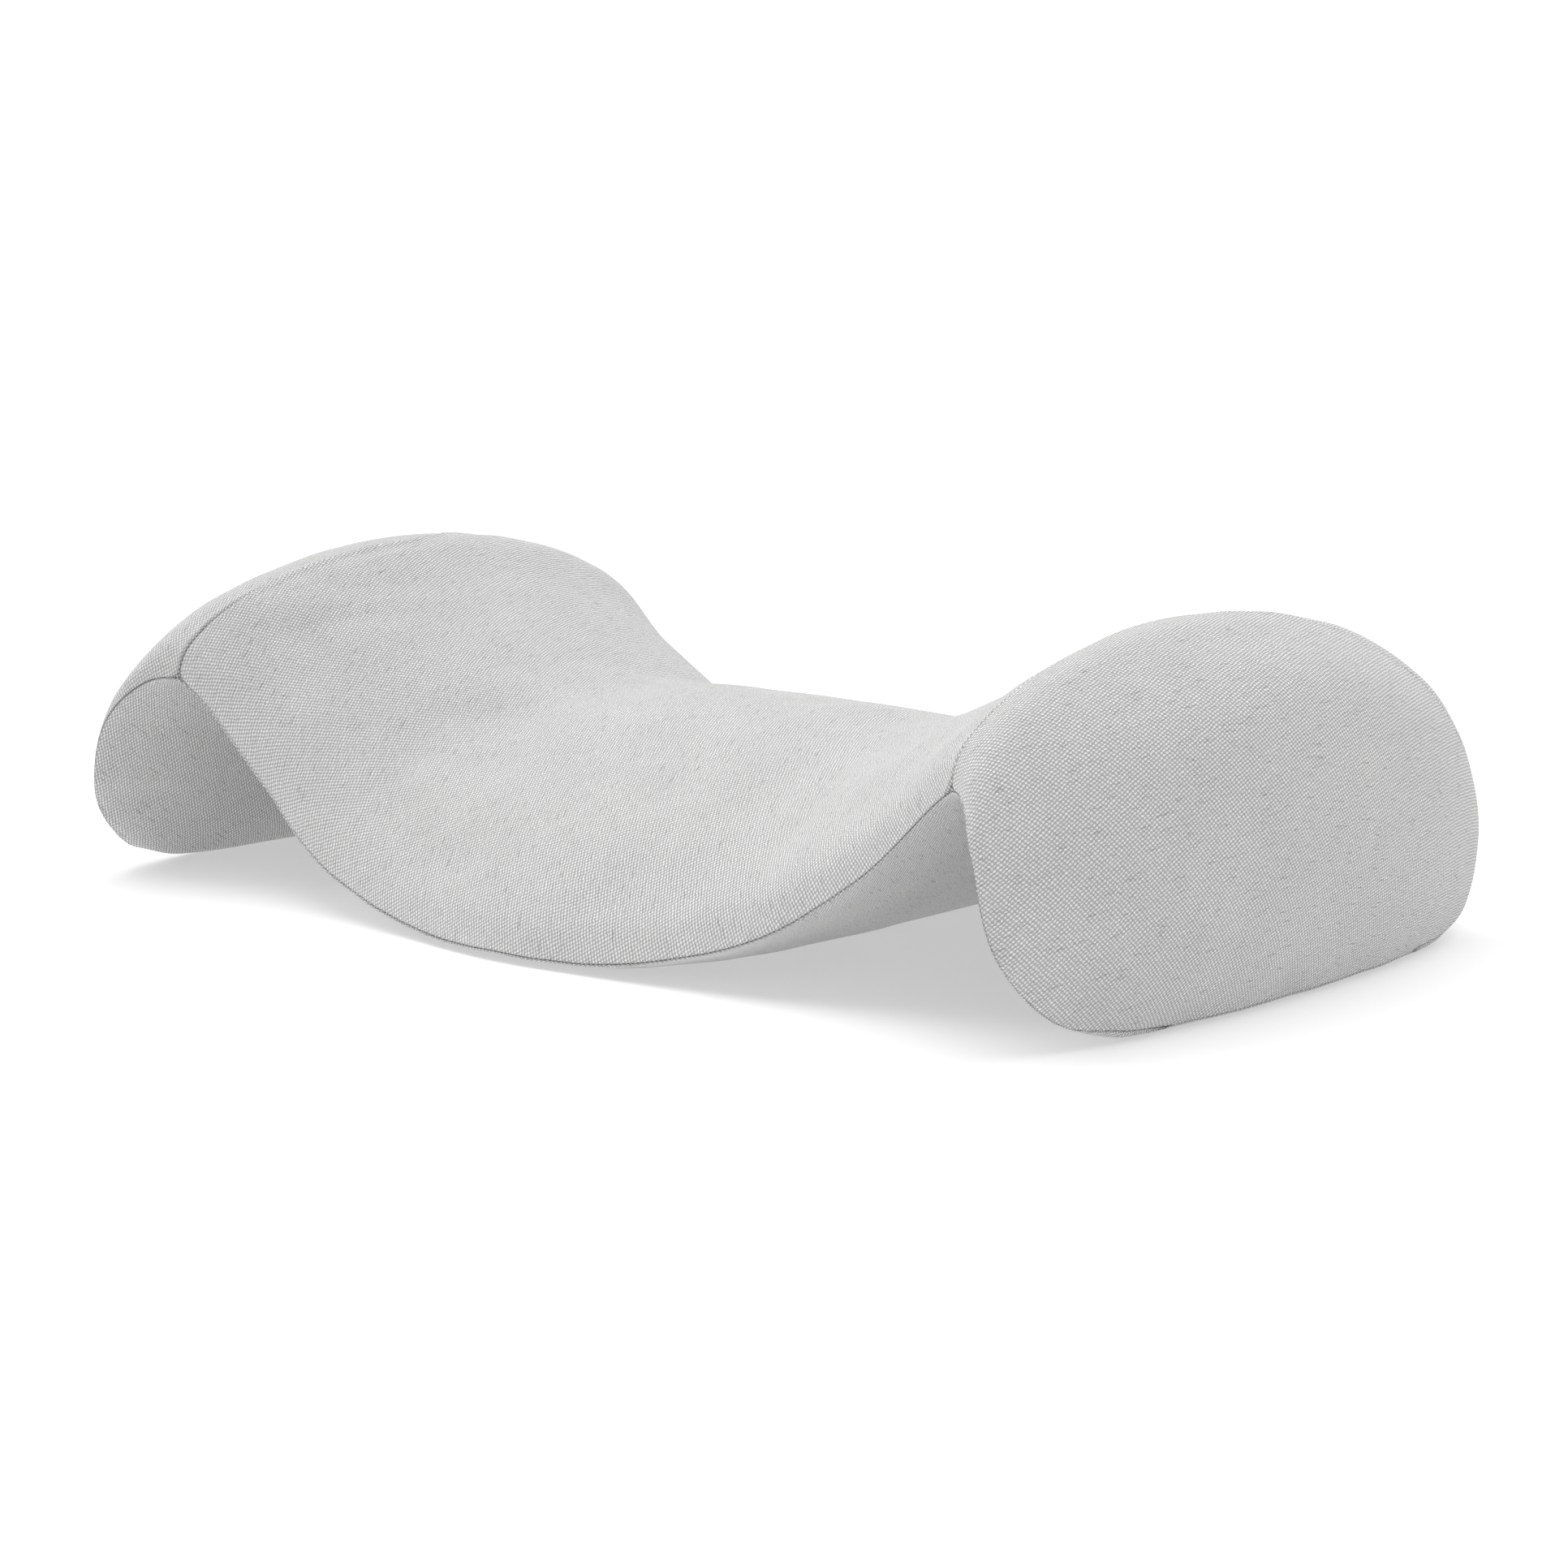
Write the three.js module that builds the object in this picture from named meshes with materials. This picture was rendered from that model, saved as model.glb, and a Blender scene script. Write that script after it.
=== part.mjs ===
// Lumbar support pillow: one block of foam in a sewn grey knit cover. It has the form of a thick sheet
// bent into a wave, with a low seat in the middle and a raised wing at each end that comes down to the
// floor as a leg, so that an arch runs from front to back under each wing.
// Millimetres, +Z up, +X along the pillow, -Y its front. The origin is on the floor under its middle.
import * as THREE from 'three';

// Overall sizes of the filled pillow
const LENGTH = 500;
const DEPTH = 290;
const HEIGHT = 124;

// How softly the underside turns up from where it lies flat on the floor
const FLOOR_SOFTNESS = 3;

// Fullness of the top curve in depth, and of its rim, where 2 is an ellipse and more is squarer
const TOP_REACH = 1.9;
const RIM_POWER = 70;

// Facets along the wave between two sections, and from the crown to the seam
const STEPS_PER_SECTION = 5;
const STEPS_TO_SEAM = 12;

// Sections of the right half, from the middle of the seat over the ridge to the leg's outer floor seam.
// The left half mirrors them, and so does the back of each. A section runs from the crown, at y = 0 on
// the top, to the front seam, and from there to the sole, at y = 0 on the underside.
//   crownX, crownZ         highest line of the pillow's top
//   seamX, seamY, seamZ    sewn edge, seamY in front of the middle
//   soleX, soleZ           middle line of the underside, flattened where it is below the floor
//   topRise                fullness of the top curve in height: 2 is an ellipse, less is a slope
//   solePower              fullness of the underside's curve: 2 is an ellipse, more is squarer
//   rim                    height that the top cloth drops round its rim to the seam
const SECTIONS = [
  { crownX: 0, crownZ: 77, seamX: 0, seamY: 144, seamZ: 3, soleX: 0, soleZ: -5,
    topRise: 1.05, solePower: 2, rim: 9 },
  { crownX: 38, crownZ: 77, seamX: 50, seamY: 138.5, seamZ: 4.6, soleX: 45, soleZ: -5,
    topRise: 1.1, solePower: 1.9, rim: 9 },
  { crownX: 86, crownZ: 77, seamX: 103.5, seamY: 130.5, seamZ: 17.7, soleX: 89, soleZ: 6,
    topRise: 1.15, solePower: 2, rim: 9 },
  { crownX: 151.7, crownZ: 103.3, seamX: 147.7, seamY: 122, seamZ: 44, soleX: 140, soleZ: 37,
    topRise: 1.7, solePower: 2.1, rim: 8 },
  { crownX: 187.3, crownZ: 122.8, seamX: 188, seamY: 126, seamZ: 78.2, soleX: 188, soleZ: 74,
    topRise: 1.7, solePower: 2.2, rim: 4.5 },
  { crownX: 210.5, crownZ: 119.2, seamX: 208.3, seamY: 142.5, seamZ: 66, soleX: 202, soleZ: 58,
    topRise: 1.6, solePower: 2.4, rim: 0 },
  { crownX: 238.2, crownZ: 100, seamX: 219, seamY: 143.3, seamZ: 34, soleX: 211, soleZ: 32,
    topRise: 1.45, solePower: 2.4, rim: 0 },
  { crownX: 250, crownZ: 59, seamX: 227.3, seamY: 123, seamZ: 10.3, soleX: 218, soleZ: 10,
    topRise: 1.5, solePower: 2.4, rim: 0 },
  { crownX: 248.7, crownZ: 27, seamX: 233.6, seamY: 97.3, seamZ: 4, soleX: 230, soleZ: -8,
    topRise: 1.8, solePower: 2.3, rim: 0 },
  { crownX: 241, crownZ: 1.5, seamX: 235, seamY: 74, seamZ: 1.5, soleX: 241, soleZ: 1.5,
    topRise: 2.2, solePower: 2.2, rim: 0 },
];

// Wave through one triple of columns, from the left leg's floor seam to the right leg's
function wave(column) {
  const right = SECTIONS.map(column);
  const left = right.slice(1).reverse().map((point) => new THREE.Vector3(-point.x, point.y, point.z));
  return new THREE.CatmullRomCurve3([...left, ...right], false, 'catmullrom', 0.5);
}

const crownWave = wave((section) => new THREE.Vector3(section.crownX, 0, section.crownZ));
const seamWave = wave((section) => new THREE.Vector3(section.seamX, section.seamY, section.seamZ));
const soleWave = wave((section) => new THREE.Vector3(section.soleX, 0, section.soleZ));
const fullness = wave((section) => new THREE.Vector3(0, section.topRise, section.solePower));
const rimWave = wave((section) => new THREE.Vector3(0, 0, section.rim));

// Height of the cloth once it has settled on the floor
function settled(height) {
  if (height > FLOOR_SOFTNESS) return height;
  if (height < -FLOOR_SOFTNESS) return 0;
  return (height + FLOOR_SOFTNESS) ** 2 / (4 * FLOOR_SOFTNESS);
}

// Point on the cloth at a place along the wave (0 to 1), and across it from the front seam (-1)
// over the crown or the sole (0) to the back seam (1)
function clothPoint(along, across, middleWave, risePower, reachPower, rim) {
  const middle = middleWave.getPoint(along);
  const seam = seamWave.getPoint(along);
  const turn = (Math.abs(across) * Math.PI) / 2;
  const rise = Math.max(Math.cos(turn), 0) ** (2 / risePower);
  const reach = Math.sin(turn) ** (2 / reachPower);
  const drop = rim * Math.sqrt(Math.max(1 - reach ** RIM_POWER, 0));
  return new THREE.Vector3(
    seam.x + (middle.x - seam.x) * rise,
    Math.sign(across) * seam.y * reach,
    settled(seam.z + drop + (middle.z - seam.z - rim) * rise),
  );
}

// Closed skin of the pillow: the top cloth and the underside share their seam points
function pillowGeometry() {
  const columns = 2 * (SECTIONS.length - 1) * STEPS_PER_SECTION;
  const rows = 2 * STEPS_TO_SEAM;
  const positions = [];
  const faces = [];

  const topPoint = (column, row) => {
    const along = column / columns;
    return clothPoint(along, row / STEPS_TO_SEAM - 1, crownWave, fullness.getPoint(along).y, TOP_REACH,
      rimWave.getPoint(along).z);
  };
  const solePoint = (column, row) => {
    const along = column / columns;
    const power = fullness.getPoint(along).z;
    return clothPoint(along, row / STEPS_TO_SEAM - 1, soleWave, power, power, 0);
  };
  const topIndex = (column, row) => column * (rows + 1) + row;
  const soleStart = (columns + 1) * (rows + 1);
  const soleIndex = (column, row) => {
    const onSeam = row === 0 || row === rows || column === 0 || column === columns;
    return onSeam ? topIndex(column, row) : soleStart + (column - 1) * (rows - 1) + row - 1;
  };

  for (let column = 0; column <= columns; column += 1) {
    for (let row = 0; row <= rows; row += 1) positions.push(...topPoint(column, row).toArray());
  }
  for (let column = 1; column < columns; column += 1) {
    for (let row = 1; row < rows; row += 1) positions.push(...solePoint(column, row).toArray());
  }
  for (let column = 0; column < columns; column += 1) {
    for (let row = 0; row < rows; row += 1) {
      const top = [[0, 0], [1, 0], [1, 1], [0, 1]].map(([c, r]) => topIndex(column + c, row + r));
      const sole = [[0, 0], [0, 1], [1, 1], [1, 0]].map(([c, r]) => soleIndex(column + c, row + r));
      // Each square is cut along the diagonal that points to its own corner of the pillow
      const cut = (column < columns / 2) === (row < rows / 2) ? 0 : 1;
      for (const square of [top, sole]) {
        const [a, b, c, d] = [0, 1, 2, 3].map((step) => square[(step + cut) % 4]);
        faces.push(a, b, c, a, c, d);
      }
    }
  }

  const geometry = new THREE.BufferGeometry();
  geometry.setAttribute('position', new THREE.Float32BufferAttribute(positions, 3));
  geometry.setIndex(faces);
  return geometry;
}

// Stretch a drawn shape to the overall sizes, with its floor kept at z = 0
function stretchedTo(geometry, length, depth, height) {
  geometry.computeBoundingBox();
  const drawn = geometry.boundingBox.getSize(new THREE.Vector3());
  geometry.scale(length / drawn.x, depth / drawn.y, height / drawn.z);
  geometry.computeVertexNormals();
  return geometry;
}

// Pale grey knit, matt
const knit = new THREE.MeshStandardMaterial({ color: 0xcfcfce, roughness: 0.95, metalness: 0 });

const pillow = new THREE.Mesh(stretchedTo(pillowGeometry(), LENGTH, DEPTH, HEIGHT), knit);
pillow.name = 'pillow_body';

const model = new THREE.Group();
model.add(pillow);

export default model;
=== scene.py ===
import cmath
import math

import bmesh
import bpy
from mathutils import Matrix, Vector


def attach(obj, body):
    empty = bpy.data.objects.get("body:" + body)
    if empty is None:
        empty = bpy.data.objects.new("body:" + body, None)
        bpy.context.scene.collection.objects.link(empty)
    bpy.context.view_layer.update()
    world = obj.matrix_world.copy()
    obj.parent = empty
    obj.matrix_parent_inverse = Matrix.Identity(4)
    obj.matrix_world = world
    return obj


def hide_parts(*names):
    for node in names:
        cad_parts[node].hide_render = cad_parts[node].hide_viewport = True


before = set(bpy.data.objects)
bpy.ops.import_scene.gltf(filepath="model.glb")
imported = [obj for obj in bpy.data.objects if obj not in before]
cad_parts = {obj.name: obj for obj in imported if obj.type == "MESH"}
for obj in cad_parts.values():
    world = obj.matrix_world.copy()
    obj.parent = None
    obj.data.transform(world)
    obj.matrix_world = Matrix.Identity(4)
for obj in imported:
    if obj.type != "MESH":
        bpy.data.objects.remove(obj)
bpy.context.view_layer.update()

# Knit cover over its foam block.
# Four pieces of pale grey piqué knit are sewn right sides together and turned: a top that runs from
# ridge to ridge, a D-shaped end on each leg, and one underside. Their seams draw in as narrow valleys.
MERGE_DISTANCE = 0.00001
RIDGE_SEAM_X = 0.187              # where the ridge seams start from the front edge seam, off the middle
START_ABOVE_Z = 0.05              # those starts are looked for above this height
TAKEN_IN = 0.0005                 # how much smaller the cover starts than the filled pillow
FILLING_PRESSURE = 3
SWELL_LIMIT = 0.0011              # the most that the filling may move the cloth
SWELL_FRAMES = 20
DENT_SIZE, DENT_DEPTH = 0.028, 0.0016
SHOULDER, LIP = 0.0040, 0.0006    # from the seam to where the cloth starts to turn in, and to its lip
LARGEST_SHARE = 0.6               # how far they may reach, of the way from the seam to the next point
PUFF = 0.0006                     # how far the shoulders stand out
VALLEY_DEPTH = 0.0016
RIDGE_TIP_Z = 0.080               # below it, every seam is drawn in firmly
SLACK_Y, FIRMING = 0.07, 0.045    # a ridge seam is slack up to here, and is firm so much further on
SLACK_TIGHTNESS = 0.15
FOLD_WIDTH = 0.0022
# Pinched folds beside the tips of the ridge seams, from end to end: x, y and z of both, and their depth
FOLDS = (((0.180, -0.106, 0.0955), (0.187, -0.124, 0.081), 0.0016),
         ((0.1975, -0.124, 0.079), (0.204, -0.118, 0.066), 0.0012),
         ((-0.1976, -0.115, 0.0735), (-0.1735, -0.1225, 0.068), 0.0014),
         ((-0.198, -0.112, 0.069), (-0.207, -0.098, 0.050), 0.0010))

cover = bpy.data.objects.new("pillow_cover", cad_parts["pillow_body"].data.copy())
bpy.context.scene.collection.objects.link(cover)
cover.data.materials.clear()
shell = bmesh.new()
shell.from_mesh(cover.data)
bmesh.ops.remove_doubles(shell, verts=shell.verts, dist=MERGE_DISTANCE)


def straight_on(vert, edge):
    """Finds the edge that lies half of the faces round a point further on than another edge."""
    face = edge.link_faces[0]
    for _ in range(len(vert.link_faces) // 2):
        edge = next(e for e in face.edges if e is not edge and vert in e.verts)
        face = next(f for f in edge.link_faces if f is not face)
    return edge


def sew_along(vert, edge):
    """Marks a seam from a point of the cover, straight on to a point that a seam has reached."""
    while True:
        edge.seam = True
        vert = edge.other_vert(vert)
        if any(e.seam for e in vert.link_edges if e is not edge):
            return
        edge = straight_on(vert, edge)


# The edge seam runs round the whole pillow. A ridge seam runs from each front tip over the wing's crown,
# and behind the crown it slants outwards to the edge seam
foremost = min(shell.verts, key=lambda v: v.co.y)
sew_along(foremost, min(foremost.link_edges, key=lambda e: e.other_vert(foremost).co.y))
edge_seam = {v for e in shell.edges if e.seam for v in e.verts}
for side in (-1, 1):
    start = min((v for v in edge_seam if v.co.y < 0 and v.co.x * side > 0 and v.co.z > START_ABOVE_Z),
                key=lambda v: abs(abs(v.co.x) - RIDGE_SEAM_X))
    upward = min((e for e in start.link_edges if not e.seam and e.other_vert(start).co.z > start.co.z),
                 key=lambda e: abs(e.other_vert(start).co.x - start.co.x))
    sew_along(start, upward)

# Triangles are joined in pairs, and the seams are held while the mesh is rounded
bmesh.ops.join_triangles(shell, faces=shell.faces, cmp_seam=True, angle_face_threshold=math.pi,
                         angle_shape_threshold=math.pi, topology_influence=2.0)
for face in shell.faces:
    face.smooth = True
held = shell.edges.layers.float.new("crease_edge")
for edge in shell.edges:
    edge[held] = 1.0 if edge.seam else 0.0
shell.to_mesh(cover.data)
shell.free()


def settle(piece):
    """Makes the modifiers of a piece part of its mesh."""
    graph = bpy.context.evaluated_depsgraph_get()
    piece.data = bpy.data.meshes.new_from_object(piece.evaluated_get(graph), depsgraph=graph)
    piece.modifiers.clear()


rounding = cover.modifiers.new("rounding", "SUBSURF")
rounding.levels = rounding.render_levels = 1
settle(cover)

# The filling presses the cloth out between its seams, which hold it
shell = bmesh.new()
shell.from_mesh(cover.data)
sewn = {v.index for e in shell.edges if e.seam for v in e.verts}
shell.normal_update()
for vert in shell.verts:
    if vert.index not in sewn:
        vert.co -= vert.normal * TAKEN_IN
shell.to_mesh(cover.data)
shell.free()
taken_in = [v.co.copy() for v in cover.data.vertices]
cover.vertex_groups.new(name="sewn").add(sorted(sewn), 1.0, "REPLACE")
cloth = cover.modifiers.new("filling", "CLOTH")
cloth.settings.use_pressure = True
cloth.settings.uniform_pressure_force = FILLING_PRESSURE
cloth.settings.effector_weights.gravity = 0
cloth.settings.vertex_group_mass = "sewn"
cloth.collision_settings.use_collision = False
cloth.point_cache.frame_end = SWELL_FRAMES
for number in range(1, SWELL_FRAMES + 1):
    bpy.context.scene.frame_set(number)
settle(cover)
for vert, start in zip(cover.data.vertices, taken_in):
    step = vert.co - start
    if step.length > SWELL_LIMIT:
        vert.co = start + step.normalized() * SWELL_LIMIT
    vert.co.z = max(vert.co.z, 0)
bpy.context.scene.frame_set(1)
cover.vertex_groups.clear()

# Foam and cover lie in soft uneven dents
lumps = bpy.data.textures.new("lumps", "CLOUDS")
lumps.noise_scale = DENT_SIZE
dents = cover.modifiers.new("dents", "DISPLACE")
dents.texture = lumps
dents.texture_coords = "LOCAL"
dents.strength = DENT_DEPTH
settle(cover)

# Each seam gets a shoulder and a lip on both sides
shell = bmesh.new()
shell.from_mesh(cover.data)
shell.normal_update()
for reach in (SHOULDER, LIP):
    seam_verts = {v for e in shell.edges if e.seam for v in e.verts}
    spokes = [e for e in shell.edges if (e.verts[0] in seam_verts) != (e.verts[1] in seam_verts)]
    old = set(shell.verts)
    bmesh.ops.subdivide_edges(shell, edges=spokes, cuts=1, use_grid_fill=True)
    for vert in [v for v in shell.verts if v not in old]:
        near = [e.other_vert(vert) for e in vert.link_edges if e.other_vert(vert) in seam_verts]
        far = [e.other_vert(vert) for e in vert.link_edges
               if e.other_vert(vert) in old and e.other_vert(vert) not in seam_verts]
        if len(near) == 1 and len(far) == 1:
            spoke = far[0].co - near[0].co
            vert.co = near[0].co + spoke * min(reach / spoke.length, LARGEST_SHARE)
            if reach == SHOULDER:
                vert.co += near[0].normal * PUFF


def tightness_at(place):
    """Tells how firmly a seam is drawn in. The ridge seams lie nearly flush over the wings."""
    if place.z < RIDGE_TIP_Z:
        return 1.0
    return min(max((abs(place.y) - SLACK_Y) / FIRMING, SLACK_TIGHTNESS), 1.0)


# The stitched lines are drawn in, and the folds are pinched
shell.normal_update()
# How firmly each seam is drawn in is kept, to paint shade into its groove
drawn_in_for_shade = shell.verts.layers.float.new("seam")
for vert in {v for e in shell.edges if e.seam for v in e.verts}:
    tightness = tightness_at(vert.co)
    vert[drawn_in_for_shade] = tightness
    vert.co -= vert.normal * VALLEY_DEPTH * tightness
for start, end, fold_depth in FOLDS:
    start, end = Vector(start), Vector(end)
    along_fold = end - start
    for vert in shell.verts:
        share = (vert.co - start).dot(along_fold) / along_fold.length_squared
        if 0 < share < 1:
            apart = (vert.co - start - along_fold * share).length
            pinch = fold_depth * math.sin(math.pi * share) * math.exp(-(apart / FOLD_WIDTH) ** 2)
            vert.co -= vert.normal * pinch
for vert in shell.verts:
    vert.co.z = max(vert.co.z, 0)
shell.to_mesh(cover.data)
shell.free()

# The four pieces of cloth are laid flat, in metres, with their grain as it was cut
PANEL_GAP = 0.01
END_PANEL_X = 0.1                 # the middle of an end panel is further out than this
END_TURNS, TOP_TURNS, UNDERSIDE_TURNS = (-9, 82), (0, 108), (90, 60)     # degrees, of rows and of slubs

bpy.context.view_layer.objects.active = cover
cover.select_set(True)
cover.data.uv_layers.new(name="rows")
bpy.ops.object.mode_set(mode="EDIT")
bpy.ops.mesh.select_all(action="SELECT")
bpy.ops.uv.unwrap(method="MINIMUM_STRETCH", fill_holes=False, margin=PANEL_GAP)
bpy.ops.object.mode_set(mode="OBJECT")

shell = bmesh.new()
shell.from_mesh(cover.data)
shell.normal_update()
rows = shell.loops.layers.uv["rows"]
slubs = shell.loops.layers.uv.new("slubs")
unlaid = set(shell.faces)
while unlaid:
    panel, edge_of_panel = [], [unlaid.pop()]
    while edge_of_panel:
        face = edge_of_panel.pop()
        panel.append(face)
        for edge in face.edges:
            for other in edge.link_faces:
                if not edge.seam and other in unlaid:
                    unlaid.remove(other)
                    edge_of_panel.append(other)
    cut_area = flat_area = 0
    turn = 0j
    for face in panel:
        cut_area += face.calc_area()
        flat = [complex(*loop[rows].uv) for loop in face.loops]
        flat_area += sum((a.conjugate() * b).imag for a, b in zip(flat, flat[1:] + flat[:1])) / 2
        along = Vector((0, 1, 0)).cross(face.normal)
        across = face.normal.cross(along)
        for loop, here, there in zip(face.loops, flat, flat[1:] + flat[:1]):
            step = loop.link_loop_next.vert.co - loop.vert.co
            turn += complex(step.dot(along), step.dot(across)) * (there - here).conjugate()
    centre = sum((face.calc_center_median() * face.calc_area() for face in panel), Vector()) / cut_area
    facing = sum((face.normal * face.calc_area() for face in panel), Vector())
    if abs(centre.x) > END_PANEL_X:
        row_turn, slub_turn = END_TURNS
    elif facing.z > 0:
        row_turn, slub_turn = TOP_TURNS
    else:
        row_turn, slub_turn = UNDERSIDE_TURNS
    laid = turn / abs(turn) * math.sqrt(cut_area / abs(flat_area))
    for face in panel:
        for loop in face.loops:
            flat = complex(*loop[rows].uv) * laid
            grain = flat * cmath.exp(-1j * math.radians(row_turn))
            slub = flat * cmath.exp(-1j * math.radians(slub_turn))
            loop[rows].uv = (grain.real, grain.imag)
            loop[slubs].uv = (slub.real, slub.imag)
shell.to_mesh(cover.data)
shell.free()

rounding = cover.modifiers.new("rounding", "SUBSURF")
rounding.levels = rounding.render_levels = 1

# Knit: raised pale dots in slanting rows on a darker ground, short slubs along the yarn, soft nap
ROW_PITCH = ((820, 380, 0), (-450, 590, 0))     # rows per metre along u and v, for each of the two slants
ROW_WEIGHTS = (0.28, 0.22)
WANDER_SCALE, WANDER = 330, 0.0011              # rows stray: patches per metre, and how far in metres
FUZZ_SCALE, FUZZ = 1300, 0.5                    # fibres: patches per metre, and their weight in the weave
DOT_FROM, DOT_FULL = -0.22, 0.36                # height of the weave where a dot begins, and is full
SLUB_SCALE = (120, 880, 1)                      # slubs per metre along and across the yarn
DARK_FROM, DARK_FULL, DARKER = 0.41, 0.29, 0.26
PALE_FROM, PALE_FULL, PALER = 0.62, 0.72, 0.10
SPOT_SCALE, SPOT_TONE, LOWEST_TONE = 38, 0.14, 0.93
SEAM_SHADE_FROM, GAP_PAINTED_SHADE, DOT_PAINTED_SHADE = 0.3, 0.66, 0.4   # painted shade in the seam grooves: where it starts, how much on the gaps, and how much less on the dots
DOT_HEIGHT, STREAK_HEIGHT, SPOT_HEIGHT = 0.00028, 0.0003, 0.0012
GAP_COLOUR, DOT_COLOUR = (0.47, 0.47, 0.468, 1), (0.95, 0.95, 0.945, 1)
KNIT_FINISH = {"Roughness": 0.92, "Specular IOR Level": 0.2, "Sheen Weight": 0.15, "Sheen Roughness": 0.5}

knit = bpy.data.materials.new("grey_pique_knit")
knit.use_nodes = True
tree = knit.node_tree
skin = tree.nodes["Principled BSDF"]


def node(kind, **settings):
    """Adds a node. An input is given by its name or as _ and its number, with an output or a value."""
    made = tree.nodes.new(kind)
    for name, value in settings.pop("options", {}).items():
        setattr(made, name, value)
    for name, value in settings.items():
        socket = made.inputs[int(name[1:]) if name.startswith("_") else name]
        if isinstance(value, bpy.types.NodeSocket):
            tree.links.new(value, socket)
        else:
            socket.default_value = value
    return made


def maths(kind, *values):
    """Gives the result of one kind of sum over numbers or the outputs of nodes."""
    return node("ShaderNodeMath", options={"operation": kind},
                **{f"_{number}": value for number, value in enumerate(values)}).outputs[0]


def vector_maths(kind, *values, **named):
    """Gives the outputs of one kind of sum over vectors or the outputs of nodes."""
    return node("ShaderNodeVectorMath", options={"operation": kind},
                **{f"_{number}": value for number, value in enumerate(values)}, **named).outputs


def ramp(value, low, high):
    """Goes smoothly from 0 at one value to 1 at another."""
    return node("ShaderNodeMapRange", options={"interpolation_type": "SMOOTHSTEP"}, _0=value, _1=low,
                _2=high, _3=0, _4=1).outputs[0]


laid_rows = node("ShaderNodeUVMap", options={"uv_map": "rows"}).outputs[0]
laid_slubs = node("ShaderNodeUVMap", options={"uv_map": "slubs"}).outputs[0]
wander = node("ShaderNodeTexNoise", Vector=laid_rows, Scale=WANDER_SCALE, Detail=3).outputs["Color"]
wander = vector_maths("SUBTRACT", wander, (0.5, 0.5, 0.5))["Vector"]
wander = vector_maths("SCALE", wander, Scale=WANDER)["Vector"]
uneven = vector_maths("ADD", laid_rows, wander)["Vector"]
waves = []
for pitch, weight in zip(ROW_PITCH, ROW_WEIGHTS):
    phase = vector_maths("DOT_PRODUCT", uneven, pitch)["Value"]
    waves.append(maths("MULTIPLY", maths("COSINE", maths("MULTIPLY", phase, math.tau)), weight))
fuzz = node("ShaderNodeTexNoise", Vector=laid_rows, Scale=FUZZ_SCALE, Detail=2).outputs["Fac"]
weave = maths("ADD", maths("ADD", *waves), maths("SUBTRACT", maths("MULTIPLY", fuzz, FUZZ), FUZZ / 2))
dots = ramp(weave, DOT_FROM, DOT_FULL)

along_yarn = node("ShaderNodeMapping", Vector=laid_slubs, Scale=SLUB_SCALE).outputs[0]
streak = node("ShaderNodeTexNoise", Vector=along_yarn, Scale=1, Detail=2, Roughness=0.6).outputs["Fac"]
dark_slub = ramp(streak, DARK_FROM, DARK_FULL)
pale_slub = ramp(streak, PALE_FROM, PALE_FULL)
soft_spots = node("ShaderNodeTexNoise", Vector=laid_slubs, Scale=SPOT_SCALE, Detail=3).outputs["Fac"]

# Colour: the dots over the gaps, toned by slubs and soft spots, with shade painted into the seams'
# grooves
colour = node("ShaderNodeMix", options={"data_type": "RGBA"}, Factor=dots, _6=GAP_COLOUR, _7=DOT_COLOUR)
tone = maths("ADD", maths("MULTIPLY", soft_spots, SPOT_TONE), LOWEST_TONE)
tone = maths("SUBTRACT", tone, maths("MULTIPLY", dark_slub, DARKER))
tone = maths("ADD", tone, maths("MULTIPLY", pale_slub, PALER))
# The shade painted into a seam's groove is as strong as the seam is drawn in
seam_shade_weight = node("ShaderNodeAttribute", options={"attribute_name": "seam"}).outputs["Fac"]
painted_shade = maths("SUBTRACT", GAP_PAINTED_SHADE, maths("MULTIPLY", dots, DOT_PAINTED_SHADE))
painted_seam_shade = maths("MULTIPLY", ramp(seam_shade_weight, SEAM_SHADE_FROM, 1), painted_shade)
tone = maths("MULTIPLY", tone, maths("SUBTRACT", 1, painted_seam_shade))
toned = vector_maths("SCALE", colour.outputs[2], Scale=tone)["Vector"]
tree.links.new(toned, skin.inputs["Base Color"])
for name, value in KNIT_FINISH.items():
    skin.inputs[name].default_value = value

height = maths("ADD", maths("MULTIPLY", dots, DOT_HEIGHT), maths("MULTIPLY", streak, STREAK_HEIGHT))
height = maths("ADD", height, maths("MULTIPLY", soft_spots, SPOT_HEIGHT))
relief = node("ShaderNodeBump", Strength=1, Distance=1, Height=height)
tree.links.new(relief.outputs[0], skin.inputs["Normal"])
cover.data.materials.append(knit)

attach(cover, "root")
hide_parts("pillow_body")

# Floor, lights and camera.
# A white floor that glows faintly, which lightens the shadows on it and lights the pillow from below, in
# a white studio under three soft lamps: one overhead, one on the left, one behind.
# The camera stands in front of the pillow, to the right of its middle and a little above it.
FLOOR_REACH = 40
FLOOR_FINISH_AND_GLOW = {"Base Color": (0.7, 0.7, 0.7, 1), "Roughness": 1, "Specular IOR Level": 0,
                "Emission Color": (1, 1, 1, 1), "Emission Strength": 0.345}
SKY = {"From Min": 0.06, "From Max": 0.14, "To Min": 1.05, "To Max": 0.36}    # brightest near the horizon
LAMPS = (("lamp_overhead", 1.33, 0, 0), ("lamp_left", 1.3, 45, 270), ("lamp_behind", 0.68, 45, 180))
LAMP_WIDTH = math.radians(60)
AZIMUTH, ELEVATION = math.radians(41.26), math.radians(9.84)
DISTANCE = 1.34688
LOOKS_AT = Vector((0.00836, 0, 0.0445))
LENS, SENSOR_WIDTH = 83.24, 36

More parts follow.
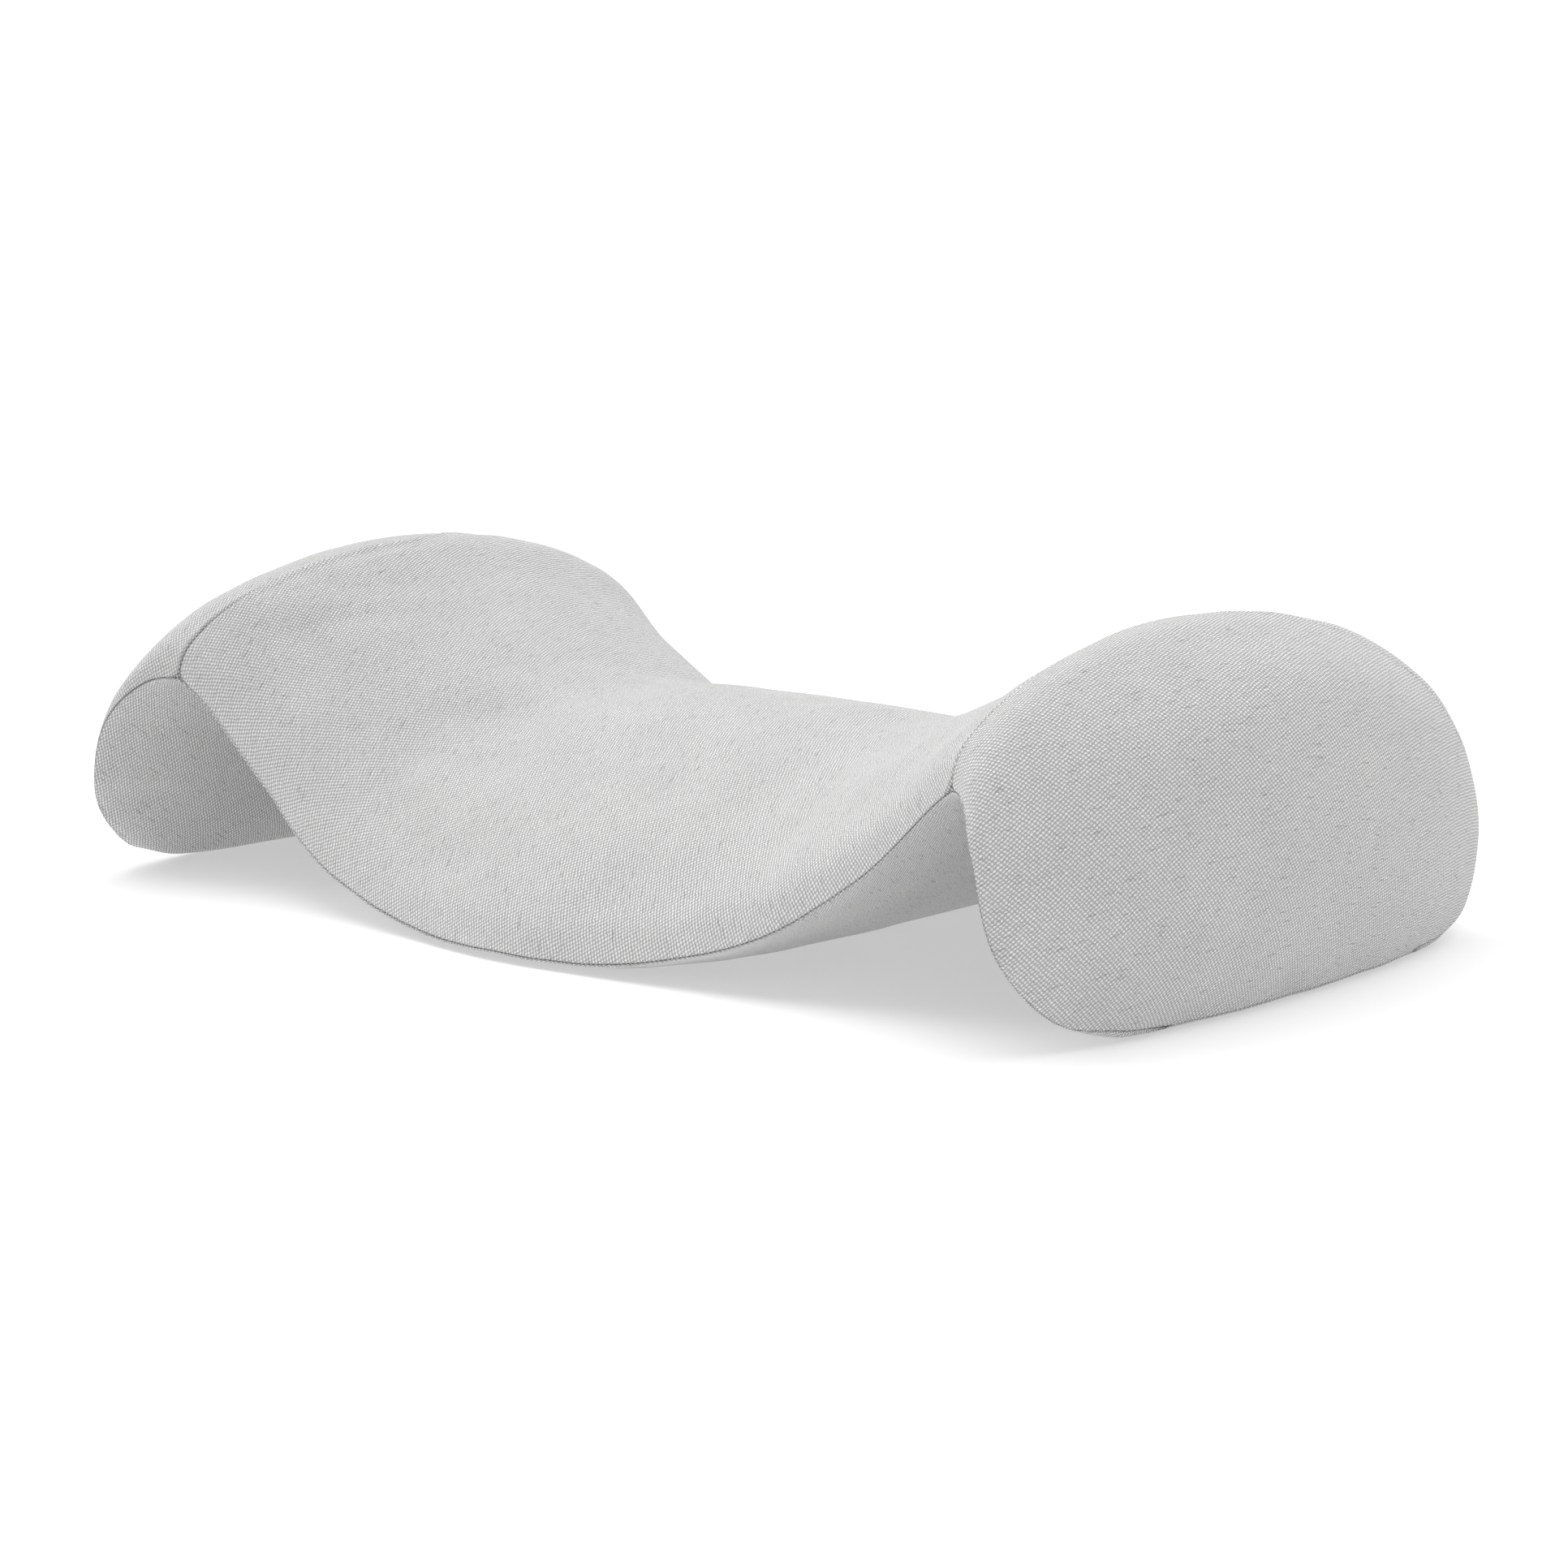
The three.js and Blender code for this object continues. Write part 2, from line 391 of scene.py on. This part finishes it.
floor_mesh = bpy.data.meshes.new("floor")
sweep = bmesh.new()
bmesh.ops.create_grid(sweep, x_segments=1, y_segments=1, size=FLOOR_REACH)
sweep.to_mesh(floor_mesh)
sweep.free()
floor = bpy.data.objects.new("floor", floor_mesh)
bpy.context.scene.collection.objects.link(floor)
# The floor's glow is painted light: it lightens the shadows on the floor and fills the pillow's underside
glowing_floor = bpy.data.materials.new("white_glowing_floor")
glowing_floor.use_nodes = True
for name, value in FLOOR_FINISH_AND_GLOW.items():
    glowing_floor.node_tree.nodes["Principled BSDF"].inputs[name].default_value = value
floor_mesh.materials.append(glowing_floor)

studio = bpy.data.worlds.new("studio")
bpy.context.scene.world = studio
studio.use_nodes = True
backdrop = studio.node_tree.nodes["Background"]
backdrop.inputs["Color"].default_value = (1, 1, 1, 1)
direction = studio.node_tree.nodes.new("ShaderNodeTexCoord")
steepness = studio.node_tree.nodes.new("ShaderNodeSeparateXYZ")
strength = studio.node_tree.nodes.new("ShaderNodeMapRange")
for name, value in SKY.items():
    strength.inputs[name].default_value = value
studio.node_tree.links.new(direction.outputs["Generated"], steepness.inputs[0])
studio.node_tree.links.new(steepness.outputs["Z"], strength.inputs["Value"])
studio.node_tree.links.new(strength.outputs[0], backdrop.inputs["Strength"])

for name, power, tilt_deg, turn_deg in LAMPS:
    lamp = bpy.data.objects.new(name, bpy.data.lights.new(name, "SUN"))
    lamp.data.energy = power
    lamp.data.angle = LAMP_WIDTH
    lamp.rotation_euler = (math.radians(tilt_deg), 0, math.radians(turn_deg))
    bpy.context.scene.collection.objects.link(lamp)

to_camera = Vector((math.sin(AZIMUTH) * math.cos(ELEVATION), -math.cos(AZIMUTH) * math.cos(ELEVATION),
                    math.sin(ELEVATION)))
camera = bpy.data.objects.new("camera", bpy.data.cameras.new("camera"))
camera.data.lens = LENS
camera.data.sensor_width = SENSOR_WIDTH
camera.location = LOOKS_AT + to_camera * DISTANCE
camera.rotation_mode = "QUATERNION"
camera.rotation_quaternion = (-to_camera).to_track_quat("-Z", "Y")
bpy.context.scene.collection.objects.link(camera)
bpy.context.scene.camera = camera
bpy.context.scene.view_settings.view_transform = "Standard"
